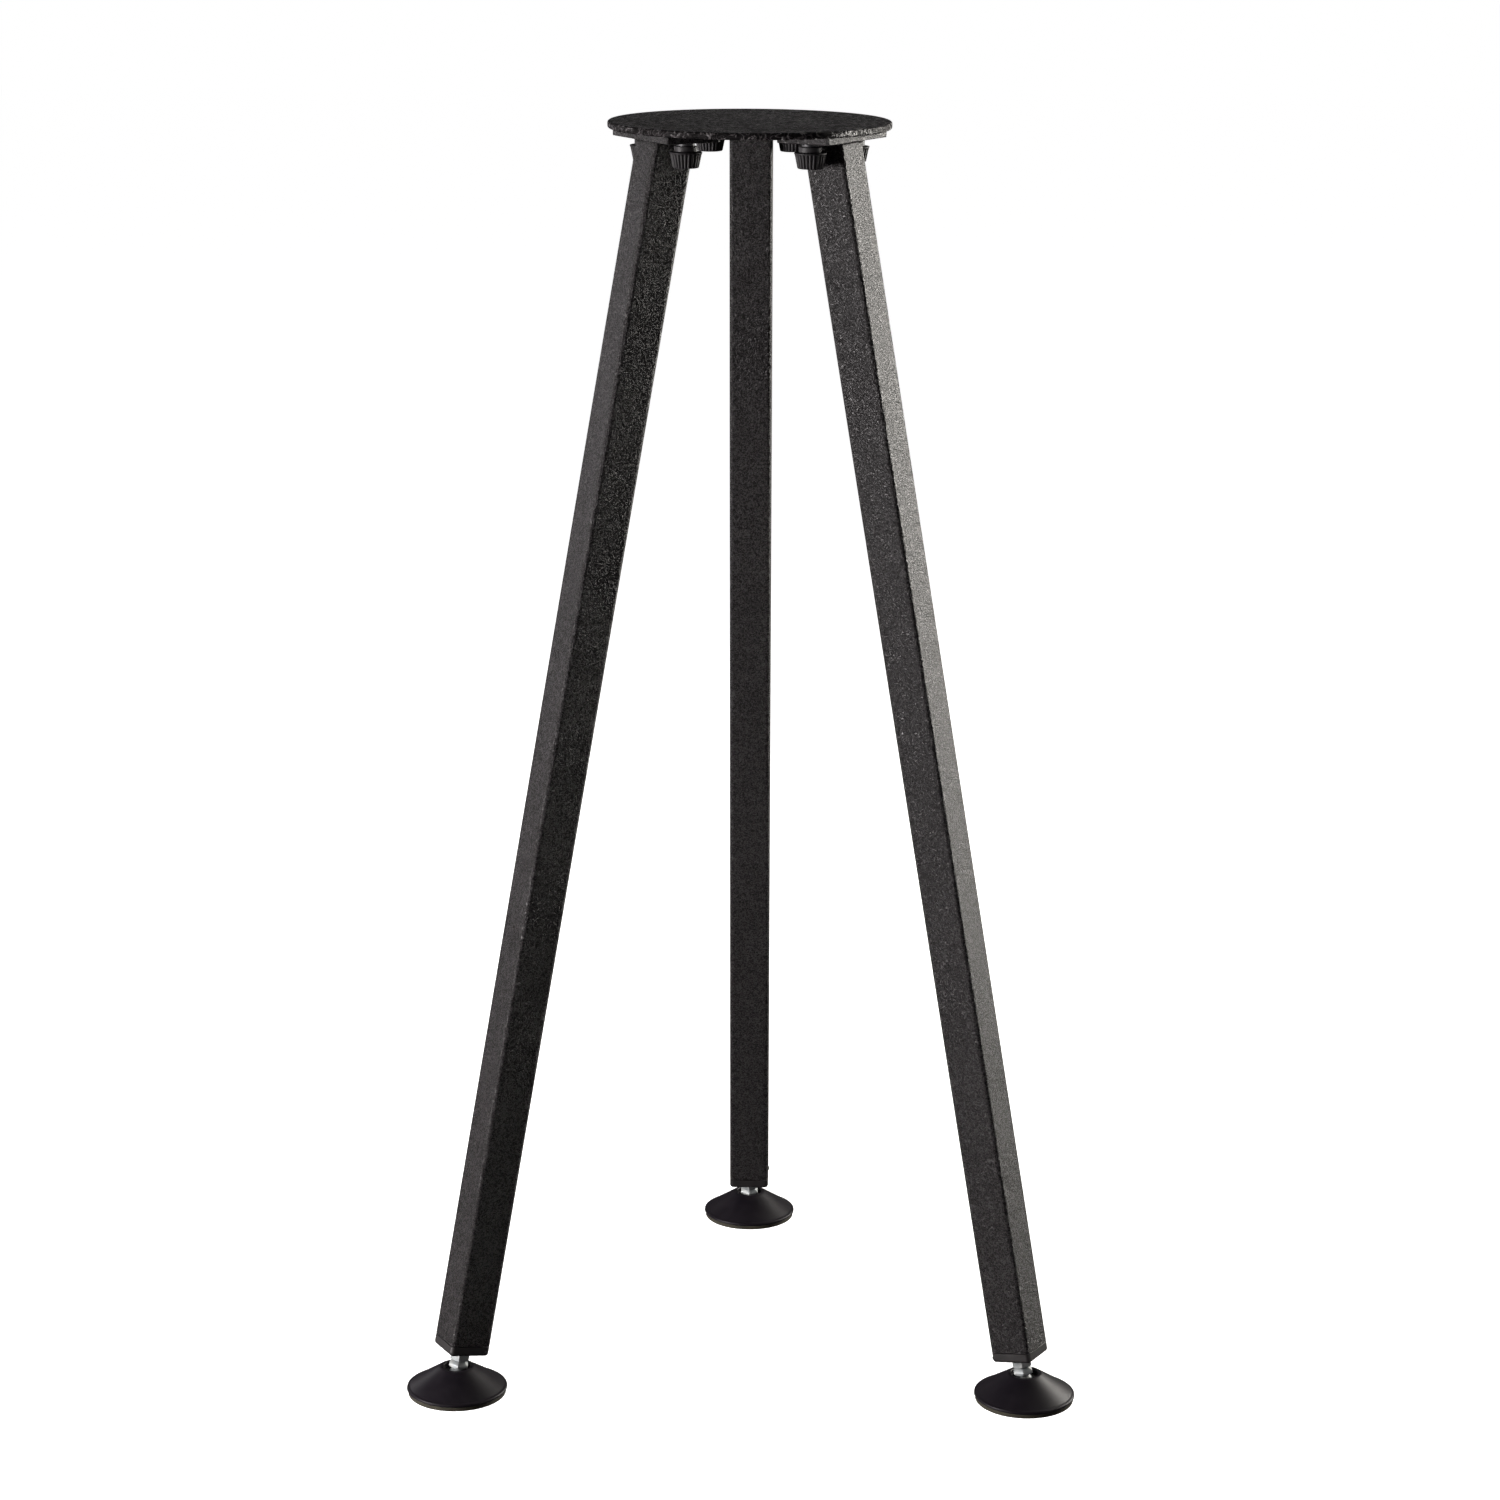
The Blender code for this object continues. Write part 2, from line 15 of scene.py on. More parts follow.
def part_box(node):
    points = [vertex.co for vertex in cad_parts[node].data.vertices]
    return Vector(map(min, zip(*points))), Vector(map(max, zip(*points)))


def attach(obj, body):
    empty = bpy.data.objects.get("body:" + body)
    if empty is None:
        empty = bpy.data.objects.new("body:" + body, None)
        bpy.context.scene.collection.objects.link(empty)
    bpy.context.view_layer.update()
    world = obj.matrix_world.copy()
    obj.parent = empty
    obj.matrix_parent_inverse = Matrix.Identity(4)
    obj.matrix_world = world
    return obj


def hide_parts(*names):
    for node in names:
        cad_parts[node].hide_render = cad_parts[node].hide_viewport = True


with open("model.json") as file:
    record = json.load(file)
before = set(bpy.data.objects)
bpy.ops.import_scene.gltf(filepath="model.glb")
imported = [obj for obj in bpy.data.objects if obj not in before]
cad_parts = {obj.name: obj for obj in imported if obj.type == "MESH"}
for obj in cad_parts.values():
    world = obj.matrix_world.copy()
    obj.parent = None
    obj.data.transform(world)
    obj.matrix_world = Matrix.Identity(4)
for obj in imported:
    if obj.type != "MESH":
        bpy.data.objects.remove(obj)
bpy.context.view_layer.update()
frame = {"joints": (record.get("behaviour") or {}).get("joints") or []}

TO_METRES = Matrix.Scale(0.001, 4)
JOINTS = {joint["name"]: joint for joint in frame["joints"]}
LEGS = ("rear", "front_left", "front_right")
CAP_QUARTER_TURNS = {"rear": 3, "front_left": 1, "front_right": 2}
KNOBS = ("1", "2")
HEX_SIDES = 6

# Segments round a turned piece
DISC_SEGMENTS = 288
PAD_SEGMENTS = 144
HEX_SEGMENTS = 72
THREAD_SEGMENTS = 20
ROUND_SEGMENTS = 48

# Sizes in millimetres
TOUCH = 0.04                        # gap left in the looks between pieces that touch
TUBE_HALF = 15.0
TUBE_WALL = 2.0
TUBE_CORNER = 3.0
WELD_SIZE = 3.4
PLATE_HALF_LENGTH = 40.0
PLATE_HALF_WIDTH = 20.0
STUD_HOLE = 3.5
NUT_FLATS = 13.0
NUT_CORNER = NUT_FLATS / math.sqrt(3)
NUT_FACE = 6.25                     # radius of a nut's round face
M6_CREST = 2.95
M6_ROOT = 2.45
M6_PITCH = 1.0
M8_CREST = 3.95
M8_ROOT = 3.35
M8_PITCH = 1.25
M8_BORE = 4.15
BALL_RADIUS = 6.0
CAPTIVE_NUT_HEIGHT = 6.5
CAPTIVE_NUT_PLAY = 0.3              # above and below it in its pocket

# Heights up the leg from the ball's centre, in millimetres
COLLAR_TOP = 10.9
CAP_END = 18.0
CAP_SEAM = 25.0
CAP_TOP = 41.0


# Outlines and lofts

def bridge(bm, lower, upper):
    """Join two loops of vertices by faces. A loop of one vertex is a pole."""
    count = max(len(lower), len(upper))
    for i in range(count):
        j = (i + 1) % count
        if len(lower) == 1:
            bm.faces.new((lower[0], upper[j], upper[i]))
        elif len(upper) == 1:
            bm.faces.new((lower[i], lower[j], upper[0]))
        else:
            bm.faces.new((lower[i], lower[j], upper[j], upper[i]))


def loft(loops, closed=False):
    """A body through successive loops of points, which goes round if closed and is capped if not."""
    bm = bmesh.new()
    rings = [[bm.verts.new(point) for point in loop] for loop in loops]
    for lower, upper in zip(rings, rings[1:]):
        bridge(bm, lower, upper)
    if closed:
        bridge(bm, rings[-1], rings[0])
    else:
        for ring in (rings[0], rings[-1]):
            if len(ring) > 1:
                bm.faces.new(ring)
    return bm


def circle(radius, z, segments, limit=None):
    """A ring of points. limit(angle) gives the largest radius that a flat-sided outline allows."""
    if radius == 0.0:
        return [(0.0, 0.0, z)]
    points = []
    for i in range(segments):
        angle = math.tau * i / segments
        r = radius if limit is None else min(radius, limit(angle))
        points.append((r * math.cos(angle), r * math.sin(angle), z))
    return points


def hexagon(flats):
    """The radius of a hexagon across its flats, as a function of the angle."""
    sector = math.tau / HEX_SIDES

    def radius(angle):
        return flats / 2 / math.cos(angle % sector - sector / 2)

    return radius


def rounded(corners, closed=False, steps=4):
    """A profile with rounded corners, from corners given as (r, z, radius of rounding)."""
    points = []
    count = len(corners)
    for i, (r, z, radius) in enumerate(corners):
        at_end = not closed and i in (0, count - 1)
        if radius == 0.0 or at_end:
            points.append((r, z))
            continue
        corner = Vector((r, z))
        back = (Vector(corners[i - 1][:2]) - corner).normalized()
        ahead = (Vector(corners[(i + 1) % count][:2]) - corner).normalized()
        half = back.angle(ahead) / 2
        middle = corner + (back + ahead).normalized() * radius / math.sin(half)
        start = corner + back * radius / math.tan(half) - middle
        end = corner + ahead * radius / math.tan(half) - middle
        sweep = start.angle(end)
        for k in range(steps + 1):
            share = k / steps
            spoke = start * math.sin((1 - share) * sweep) + end * math.sin(share * sweep)
            points.append(tuple(middle + spoke / math.sin(sweep)))
    return points


def arc(centre_z, radius, start, end, steps):
    """Points of an arc about the axis in the profile plane, with angles in degrees from +r towards +z."""
    points = []
    for i in range(steps + 1):
        angle = math.radians(start + (end - start) * i / steps)
        points.append((radius * math.cos(angle), centre_z + radius * math.sin(angle)))
    return points


def lathe(profile, segments, closed=False):
    return loft([circle(r, z, segments) for r, z in profile], closed)


def rounded_rectangle(half_x, half_y, corner, steps=8):
    """The outline of a rectangle with round corners, as (x, y) points."""
    points = []
    for quarter in range(4):
        middle = math.pi / 4 + quarter * math.pi / 2
        x = math.copysign(half_x - corner, math.cos(middle))
        y = math.copysign(half_y - corner, math.sin(middle))
        for i in range(steps + 1):
            angle = quarter * math.pi / 2 + math.pi / 2 * i / steps
            points.append((x + corner * math.cos(angle), y + corner * math.sin(angle)))
    return points


def rounded_square(half, corner, steps=8):
    return rounded_rectangle(half, half, corner, steps)


def flat_loop(outline, z):
    return [(x, y, z) for x, y in outline]


def thread(crest, root, pitch, low, high, segments=THREAD_SEGMENTS, rows=7):
    """Rings of a right-hand screw thread from low to high, run out to its root at both ends."""
    flank = 1.3         # steepness that leaves a narrow flat at crest and root
    root_flat = 0.1
    rings = []
    count = math.ceil((high - low) / pitch * rows)
    for j in range(count + 1):
        z = low + (high - low) * j / count
        run_out = min(1.0, (z - low) / pitch, (high - z) / pitch)
        ring = []
        for i in range(segments):
            turn = i / segments
            off_crest = abs(2 * ((z / pitch - turn) % 1) - 1)
            height = min(1.0, max(0.0, flank * (1 - off_crest) - root_flat)) * run_out
            r = root + (crest - root) * height
            ring.append((r * math.cos(math.tau * turn), r * math.sin(math.tau * turn), z))
        rings.append(ring)
    return rings


# Frames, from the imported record

def columns(x, y, z, origin):
    matrix = Matrix((x, y, z)).transposed().to_4x4()
    matrix.translation = origin
    return matrix


def ball_of(leg):
    return Vector(JOINTS[leg + "_foot_turn"]["pos_m"])


def leg_frame(leg):
    up = -Vector(JOINTS[leg + "_foot_turn"]["axis"]).normalized()
    sideways = up.cross(Vector((0, 0, 1))).normalized()
    return columns(sideways.cross(up), sideways, up, ball_of(leg))


def upright_frame(leg):
    sideways = leg_frame(leg).col[1].to_3d()
    return columns(sideways.cross(Vector((0, 0, 1))), sideways, Vector((0, 0, 1)), ball_of(leg))


def clamp_frame(leg):
    """Origin at the middle of the plate's underside, +X outward."""
    first, second = (Vector(JOINTS[f"{leg}_knob_{knob}_turn"]["pos_m"]) for knob in KNOBS)
    sideways = (second - first).normalized()
    middle = (first + second) / 2
    return columns(sideways.cross(Vector((0, 0, 1))), sideways, Vector((0, 0, 1)), middle)


def stud_frame(leg, knob):
    """Origin on the stud's axis at the plate's underside."""
    matrix = clamp_frame(leg)
    matrix.translation = Vector(JOINTS[f"{leg}_knob_{knob}_turn"]["pos_m"])
    return matrix


# Materials

def node(tree, kind, inputs, **settings):
    """Add a node. An input is given a value, or a socket to be linked to."""
    made = tree.nodes.new(kind)
    for key, value in settings.items():
        setattr(made, key, value)
    for key, value in inputs.items():
        if isinstance(value, bpy.types.NodeSocket):
            tree.links.new(value, made.inputs[key])
        else:
            made.inputs[key].default_value = value
    return made


def new_material(name, metallic=0.0, specular=0.5):
    material = bpy.data.materials.new(name)
    material.use_nodes = True
    tree = material.node_tree
    shader = tree.nodes["Principled BSDF"]
    shader.inputs["Metallic"].default_value = metallic
    shader.inputs["Specular IOR Level"].default_value = specular
    coords = tree.nodes.new("ShaderNodeTexCoord").outputs["Object"]
    return material, tree, shader, coords


def noise(tree, coords, scale, detail, distortion, roughness):
    inputs = {"Vector": coords, "Scale": scale, "Detail": detail, "Distortion": distortion,
              "Roughness": roughness}
    return node(tree, "ShaderNodeTexNoise", inputs).outputs["Fac"]


def calc(tree, operation, first, second=0.0):
    return node(tree, "ShaderNodeMath", {0: first, 1: second}, operation=operation).outputs[0]


def weighted(tree, *parts):
    """The sum of parts given as (value, weight)."""
    total, *others = [calc(tree, "MULTIPLY", value, weight) for value, weight in parts]
    for share in others:
        total = calc(tree, "ADD", total, share)
    return total


def spread(tree, value, low, high, to_low, to_high):
    """Map a value's range onto another, held at both ends."""
    inputs = {"Value": value, "From Min": low, "From Max": high, "To Min": to_low, "To Max": to_high}
    return node(tree, "ShaderNodeMapRange", inputs).outputs["Result"]


def shades(tree, shader, value, stops):
    """Colour the surface along stops of (position, colour)."""
    ramp = node(tree, "ShaderNodeValToRGB", {"Fac": value})
    elements = ramp.color_ramp.elements
    while len(elements) < len(stops):
        elements.new(0.5)
    for element, (position, colour) in zip(elements, stops):
        element.position = position
        element.color = (*colour, 1.0)
    tree.links.new(ramp.outputs["Color"], shader.inputs["Base Color"])


def relief(tree, shader, height, distance):
    """A fine surface height, in metres at full height."""
    bump = node(tree, "ShaderNodeBump", {"Height": height, "Distance": distance, "Strength": 1.0})
    tree.links.new(bump.outputs["Normal"], shader.inputs["Normal"])


def powder_coat(name, folds_per_metre, fold_width, depth, pit_shine, stops):
    """Black wrinkle-texture powder coat: winding ridges over a finer grain, with dull pits between them. Its
    colour follows the relief: lighter on the ridge tops as a painted highlight, darker in the hollows as
    painted shade, with a random cloudy tone mixed in.
    """
    grain_per_metre = 1100.0
    pits_per_metre = folds_per_metre * 1.3
    clouds_per_metre = 14.0
    rough_hollows, rough_tops = 0.50, 0.34
    ridge_shine = 0.60
    material, tree, shader, coords = new_material(name)
    folds = noise(tree, coords, folds_per_metre, detail=1.5, distortion=1.4, roughness=0.45)
    from_middle = calc(tree, "ABSOLUTE", calc(tree, "SUBTRACT", folds, 0.5))
    ridge = spread(tree, from_middle, 0.0, fold_width, 1.0, 0.0)
    grain = noise(tree, coords, grain_per_metre, detail=2.0, distortion=0.4, roughness=0.6)
    spots = noise(tree, coords, pits_per_metre, detail=1.0, distortion=0.3, roughness=0.4)
    pits = spread(tree, spots, 0.38, 0.46, 0.0, 1.0)
    height = weighted(tree, (ridge, 0.45), (grain, 0.50), (pits, 0.20))
    relief(tree, shader, height, depth)
    cloud = noise(tree, coords, clouds_per_metre, detail=3.0, distortion=0.3, roughness=0.55)
    # tone is mostly the relief's height, so the colour is a painted highlight on the ridges and painted shade
    # in the hollows, plus a random cloudy tone; it also sets the roughness
    tone = weighted(tree, (height, 0.75), (cloud, 0.25))
    shades(tree, shader, tone, stops)
    tree.links.new(spread(tree, tone, 0.3, 0.8, rough_hollows, rough_tops), shader.inputs["Roughness"])
    shine = spread(tree, calc(tree, "MULTIPLY", pits, ridge), 0.0, 0.8, pit_shine, ridge_shine)
    tree.links.new(shine, shader.inputs["Specular IOR Level"])
    return material


def plastic(name, dark, light, rough, grain_per_metre, depth, specular=0.5):
    """Moulded plastic with a fine even texture and slight flow marks."""
    flow_per_metre = 45.0
    material, tree, shader, coords = new_material(name, specular=specular)
    fine = noise(tree, coords, grain_per_metre, detail=3.0, distortion=0.2, roughness=0.6)
    flow = noise(tree, coords, flow_per_metre, detail=3.0, distortion=1.2, roughness=0.5)
    shades(tree, shader, flow, [(0.3, dark), (0.7, light)])
    dull = weighted(tree, (fine, 0.35), (flow, 0.65))
    tree.links.new(spread(tree, dull, 0.3, 0.7, *rough), shader.inputs["Roughness"])
    relief(tree, shader, fine, depth)
    return material


def rubber(name, dark, light, rough, grain_per_metre, depth, specular):
    """Dull rubber with a faint bloom and a fine grain."""
    bloom_per_metre = 60.0
    material, tree, shader, coords = new_material(name, specular=specular)
    grain = noise(tree, coords, grain_per_metre, detail=3.0, distortion=0.0, roughness=0.7)
    bloom = noise(tree, coords, bloom_per_metre, detail=4.0, distortion=0.6, roughness=0.6)
    shades(tree, shader, bloom, [(0.3, dark), (0.7, light)])
    tree.links.new(spread(tree, bloom, 0.3, 0.7, *rough), shader.inputs["Roughness"])
    relief(tree, shader, grain, depth)
    return material


def metal(name, stops, rough, grain_per_metre, depth, metallic=1.0):
    """Plated or turned metal: patchy brightness, fine scratches and a slightly uneven surface."""
    patches_per_metre = 160.0
    scratches_per_metre = (260.0, 260.0, 3200.0)
    material, tree, shader, coords = new_material(name, metallic=metallic)
    patches = noise(tree, coords, patches_per_metre, detail=4.0, distortion=0.8, roughness=0.6)
    grain = noise(tree, coords, grain_per_metre, detail=3.0, distortion=0.0, roughness=0.65)
    stretched = node(tree, "ShaderNodeMapping", {"Vector": coords, "Scale": scratches_per_metre})
    scratches = noise(tree, stretched.outputs["Vector"], 1.0, detail=3.0, distortion=0.0, roughness=0.7)
    shades(tree, shader, patches, stops)
    worn = weighted(tree, (patches, 0.5), (scratches, 0.5))
    tree.links.new(spread(tree, worn, 0.35, 0.65, *rough), shader.inputs["Roughness"])
    relief(tree, shader, weighted(tree, (grain, 0.5), (scratches, 0.5)), depth)
    return material


MATERIALS = {
    # Both coats' stops run from painted shade in the hollows to a painted highlight on the ridge tops; on the
    # disc the ridges are painted much lighter still.
    "powder_coat": powder_coat(
        "powder_coat_black", folds_per_metre=540.0, fold_width=0.11, depth=0.00050, pit_shine=0.20,
        stops=[(0.30, (0.004, 0.0034, 0.0034)), (0.55, (0.010, 0.0088, 0.009)),
               (0.85, (0.025, 0.022, 0.0225))]),
    "disc_coat": powder_coat(
        "powder_coat_coarse", folds_per_metre=170.0, fold_width=0.07, depth=0.0011, pit_shine=0.06,
        stops=[(0.30, (0.002, 0.0018, 0.0018)), (0.50, (0.008, 0.0070, 0.0072)),
               (0.80, (0.078, 0.070, 0.072))]),
    "cap_plastic": plastic(
        "cap_polyethylene_black", dark=(0.014, 0.013, 0.013), light=(0.022, 0.020, 0.020),
        rough=(0.40, 0.52), grain_per_metre=900.0, depth=0.00003),
    "knob_plastic": plastic(
        "knob_plastic_black", dark=(0.016, 0.015, 0.016), light=(0.024, 0.023, 0.024),
        rough=(0.46, 0.58), grain_per_metre=1400.0, depth=0.00002, specular=0.24),
    "pad_plastic": plastic(
        "pad_polyamide_black", dark=(0.007, 0.0055, 0.008), light=(0.011, 0.009, 0.012),
        rough=(0.38, 0.48), grain_per_metre=2200.0, depth=0.00001, specular=0.18),
    "socket_plastic": plastic(
        "socket_acetal_black", dark=(0.010, 0.010, 0.011), light=(0.016, 0.016, 0.017),
        rough=(0.32, 0.42), grain_per_metre=1600.0, depth=0.00001),
    "sole_rubber": rubber(
        "sole_rubber_olive", dark=(0.028, 0.026, 0.018), light=(0.055, 0.051, 0.036),
        rough=(0.72, 0.9), grain_per_metre=1500.0, depth=0.00006, specular=0.3),
    "zinc_plate": metal(
        "zinc_bright", stops=[(0.3, (0.23, 0.255, 0.265)), (0.55, (0.30, 0.32, 0.315)),
                              (0.75, (0.38, 0.38, 0.36))],
        rough=(0.44, 0.58), grain_per_metre=700.0, depth=0.00002, metallic=0.3),
    "washer_black": metal(
        "washer_black_oxide", stops=[(0.3, (0.020, 0.020, 0.022)), (0.7, (0.034, 0.034, 0.036))],
        rough=(0.42, 0.56), grain_per_metre=900.0, depth=0.00002, metallic=0.4),
    "stud_steel": metal(
        "steel_thread", stops=[(0.3, (0.50, 0.50, 0.50)), (0.7, (0.68, 0.68, 0.67))],
        rough=(0.25, 0.42), grain_per_metre=1200.0, depth=0.00002),
    "brass": metal(
        "brass_turned", stops=[(0.3, (0.62, 0.43, 0.18)), (0.7, (0.80, 0.60, 0.30))],
        rough=(0.24, 0.40), grain_per_metre=1200.0, depth=0.00002),
}


def put(name, bm, matrix, body, slot, replaced, sharp=35.0, look=None):
    """Place a piece drawn in millimetres. It rides on its body and stands for a CAD node.

    Edges that turn by more than sharp, in degrees, are shaded sharp. look names the material where
    it isn't the slot's own.
    """
    bm.transform(matrix @ TO_METRES)
    bmesh.ops.recalc_face_normals(bm, faces=bm.faces[:])
    mesh = bpy.data.meshes.new(name)
    bm.to_mesh(mesh)
    bm.free()
    mesh.materials.append(MATERIALS[look or slot])
    mesh.shade_smooth()
    mesh.set_sharp_from_angle(angle=math.radians(sharp))
    obj = bpy.data.objects.new(name, mesh)
    bpy.context.scene.collection.objects.link(obj)
    flatten = obj.modifiers.new("flat_faces_first", "WEIGHTED_NORMAL")
    flatten.keep_sharp = True
    flatten.weight = 100
    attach(obj, body)
    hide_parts(replaced)
    return obj


# The top

DISC_LOW, DISC_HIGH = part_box("top_disc")
DISC_MIDDLE = (DISC_LOW + DISC_HIGH) / 2
DISC_RADIUS = (DISC_HIGH.x - DISC_LOW.x) / 2 * 1000
DISC_THICKNESS = (DISC_HIGH.z - DISC_LOW.z) * 1000
PLATE_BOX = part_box("mounting_plate_rear")
PLATE_THICKNESS = (DISC_LOW.z - PLATE_BOX[0].z) * 1000 - TOUCH
KNOB_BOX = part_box("clamp_knob_rear_1")
HUB_DROP = (PLATE_BOX[0].z - KNOB_BOX[1].z) * 1000


def disc_shape():
    top = DISC_THICKNESS
    edge = 1.5
    profile = rounded([(0.0, 0.0, 0.0), (DISC_RADIUS, 0.0, edge), (DISC_RADIUS, top, edge), (0.0, top, 0.0)],
                      steps=8)
    return lathe(profile, DISC_SEGMENTS)


def plate_shape():
    """Flat bar with rounded edges and a countersunk clearance hole near each end, drawn on its underside."""
    edge = 0.7
    corner = 1.6
    steps = 4
    sink = 0.4
    hole_segments = 32
    bm = bmesh.new()
    stations = []
    for i in range(steps + 1):
        angle = math.pi / 2 * i / steps
        stations.append((edge * (1 - math.sin(angle)), edge * (1 - math.cos(angle))))
    stations += [(inset, PLATE_THICKNESS - z) for inset, z in reversed(stations)]
    outer = []
    for inset, z in stations:
        half_x, half_y = PLATE_HALF_WIDTH - inset, PLATE_HALF_LENGTH - inset
        outline = rounded_rectangle(half_x, half_y, corner - inset, steps)
        outer.append([bm.verts.new(point) for point in flat_loop(outline, z)])
    for lower, upper in zip(outer, outer[1:]):
        bridge(bm, lower, upper)
    rims = {"lower": [outer[0]], "upper": [outer[-1]]}
    first, second = (Vector(JOINTS[f"rear_knob_{knob}_turn"]["pos_m"]) for knob in KNOBS)
    stud_offset = (first - second).length * 1000 / 2
    for side in (-1, 1):
        hole = []
        for r, z in ((STUD_HOLE + sink, 0.0), (STUD_HOLE, sink), (STUD_HOLE, PLATE_THICKNESS - sink),
                     (STUD_HOLE + sink, PLATE_THICKNESS)):
            ring = circle(r, z, hole_segments)
            hole.append([bm.verts.new((x, y + side * stud_offset, h)) for x, y, h in ring])
        for lower, upper in zip(hole, hole[1:]):
            bridge(bm, lower, upper)
        rims["lower"].append(hole[0])
        rims["upper"].append(hole[-1])
    for loops in rims.values():
        edges = []
        for loop in loops:
            for i, vertex in enumerate(loop):
                edges.append(bm.edges.get((vertex, loop[(i + 1) % len(loop)])))
        bmesh.ops.triangle_fill(bm, edges=edges, use_beauty=True)
    return bm


def weld_stud_shape():
    """Threaded stud, drawn down from the disc's underside."""
    length = 18.0
    neck = 1.2
    chamfer = 0.3
    rings = [circle(0.0, -length, THREAD_SEGMENTS), circle(M6_ROOT - chamfer, -length, THREAD_SEGMENTS)]
    rings += thread(M6_CREST, M6_ROOT, M6_PITCH, chamfer - length, -neck, rows=6)
    rings += [circle(M6_CREST, -neck + chamfer, THREAD_SEGMENTS), circle(M6_CREST, -TOUCH, THREAD_SEGMENTS),
              circle(0.0, -TOUCH, THREAD_SEGMENTS)]
    return loft(rings)


def washer_shape():
    """Flat washer with one rounded face, from the plate down to the knob's hub."""
    top = -TOUCH
    bottom = TOUCH - HUB_DROP
    outer = 6.0
    sharp = 0.15
    soft = 0.45
    corners = [(STUD_HOLE, bottom, sharp), (outer, bottom, sharp), (outer, top, soft),
               (STUD_HOLE, top, sharp)]
    return lathe(rounded(corners, closed=True), ROUND_SEGMENTS, closed=True)


def fluted(radius, z, depth):
    """A ring of rounded ribs with narrower grooves between them."""
    flutes = 24
    per_flute = 8
    narrowing = 2.4
    points = []
    for i in range(flutes * per_flute):
        angle = math.tau * i / (flutes * per_flute)
        groove = ((1 - math.cos(flutes * angle)) / 2) ** narrowing
        r = radius - depth * groove
        points.append((r * math.cos(angle), r * math.sin(angle), z))
    return points


def knob_shape():
    """Plain hub over a tapered, fluted grip with rounded ends, drawn down from the hub's top face."""
    segments = 192
    hub_radius = 7.75
    hub_height = 3.9
    grip_height = 10.6
    top_radius = 11.0
    end_radius = 8.9
    flute_depth = 0.85
    dimple_radius = 4.6
    dimple_depth = 0.7
    socket_radius = 4.55
    socket_depth = 12.3
    grip_top = -hub_height
    end = -hub_height - grip_height
    end_round = 1.1
    round_steps = 5
    side_steps = 5
    loops = [
        circle(0.0, end + dimple_depth, segments),
        circle(dimple_radius, end + dimple_depth, segments),
        circle(dimple_radius + 0.4, end + 0.55, segments),
        circle(dimple_radius + 1.0, end, segments),
        circle(end_radius - end_round - 0.9, end, segments),
    ]
    for i in range(round_steps + 1):
        angle = math.pi / 2 * i / round_steps
        r = end_radius - end_round * (1 - math.sin(angle))
        z = end + end_round * (1 - math.cos(angle))
        loops.append(fluted(r, z, flute_depth * (0.25 + 0.75 * math.sin(angle))))
    lip_low = grip_top - 1.5
    lip_high = grip_top - 0.55
    side_start = end + end_round
    for i in range(1, side_steps + 1):
        share = i / side_steps
        z = side_start + (lip_low - side_start) * share
        r = end_radius + (top_radius - 0.15 - end_radius) * (z - side_start) / (grip_top - side_start)
        loops.append(fluted(r, z, flute_depth))
    loops.append(fluted(top_radius - 0.12, (lip_low + lip_high) / 2, flute_depth * 0.6))
    loops.append(circle(top_radius, lip_high, segments))
    lip = rounded([
        (top_radius, lip_high, 0.0),
        (top_radius, grip_top, 0.5),
        (hub_radius + 0.65, grip_top + 0.05, 0.3),
        (hub_radius, grip_top + 0.35, 0.3),
        (hub_radius, 0.0, 0.45),
        (socket_radius, 0.0, 0.2),
        (socket_radius, -socket_depth, 0.0),
        (0.0, -socket_depth, 0.0),
    ])
    loops += [circle(r, z, segments) for r, z in lip[1:]]
    return loft(loops)


def insert_shape():
    """Knurled brass insert, flush with the hub's top face."""
    length = 12.0
    bore = 3.3
    body = 4.25
    knurl_depth = 0.25
    knurls = 24
    knurl_pitch = 2.0

    def knurled(z, turn):
        points = []
        for i in range(ROUND_SEGMENTS):
            angle = math.tau * i / ROUND_SEGMENTS
            r = body - knurl_depth * (0.5 + 0.5 * math.cos(knurls * angle + turn))
            points.append((r * math.cos(angle), r * math.sin(angle), z))
        return points

    loops = [circle(r, -length, ROUND_SEGMENTS) for r in (bore + 0.3, 3.9)]
    loops += [knurled(-length + 0.4 + i * knurl_pitch, math.pi * (i % 2)) for i in range(5)]
    groove_and_rim = [(3.8, -3.0), (3.8, -2.6), (body, -2.3), (body, -0.25), (4.05, 0.0), (bore + 0.4, 0.0),
                      (bore, -0.4), (bore, -length + 0.3)]
    loops += [circle(r, z, ROUND_SEGMENTS) for r, z in groove_and_rim]
    return loft(loops, closed=True)


# A leg

def plane_z(matrix, height):
    """In a leg's frame, in millimetres: z on the level plane at this height, as a function of x."""
    origin = matrix.translation.z
    lean = matrix.col[0].z
    rise = matrix.col[2].z
    return lambda x: ((height - origin) * 1000 - x * lean) / rise


def tube_shape(matrix):
    """Square tube with round corners, its foot cut square and its top mitred to the plate."""
    seam_gap = 0.45
    break_edge = 0.1
    end = CAP_SEAM + seam_gap
    top = plane_z(matrix, PLATE_BOX[0].z)
    outer = rounded_square(TUBE_HALF, TUBE_CORNER)
    inner = rounded_square(TUBE_HALF - TUBE_WALL, TUBE_CORNER - TUBE_WALL)
    lip = rounded_square(TUBE_HALF - break_edge, TUBE_CORNER - break_edge)
    loops = [flat_loop(inner, end), flat_loop(lip, end), flat_loop(outer, end + break_edge)]
    loops += [[(x, y, top(x) - TOUCH) for x, y in outline] for outline in (outer, inner)]
    return loft(loops, closed=True)


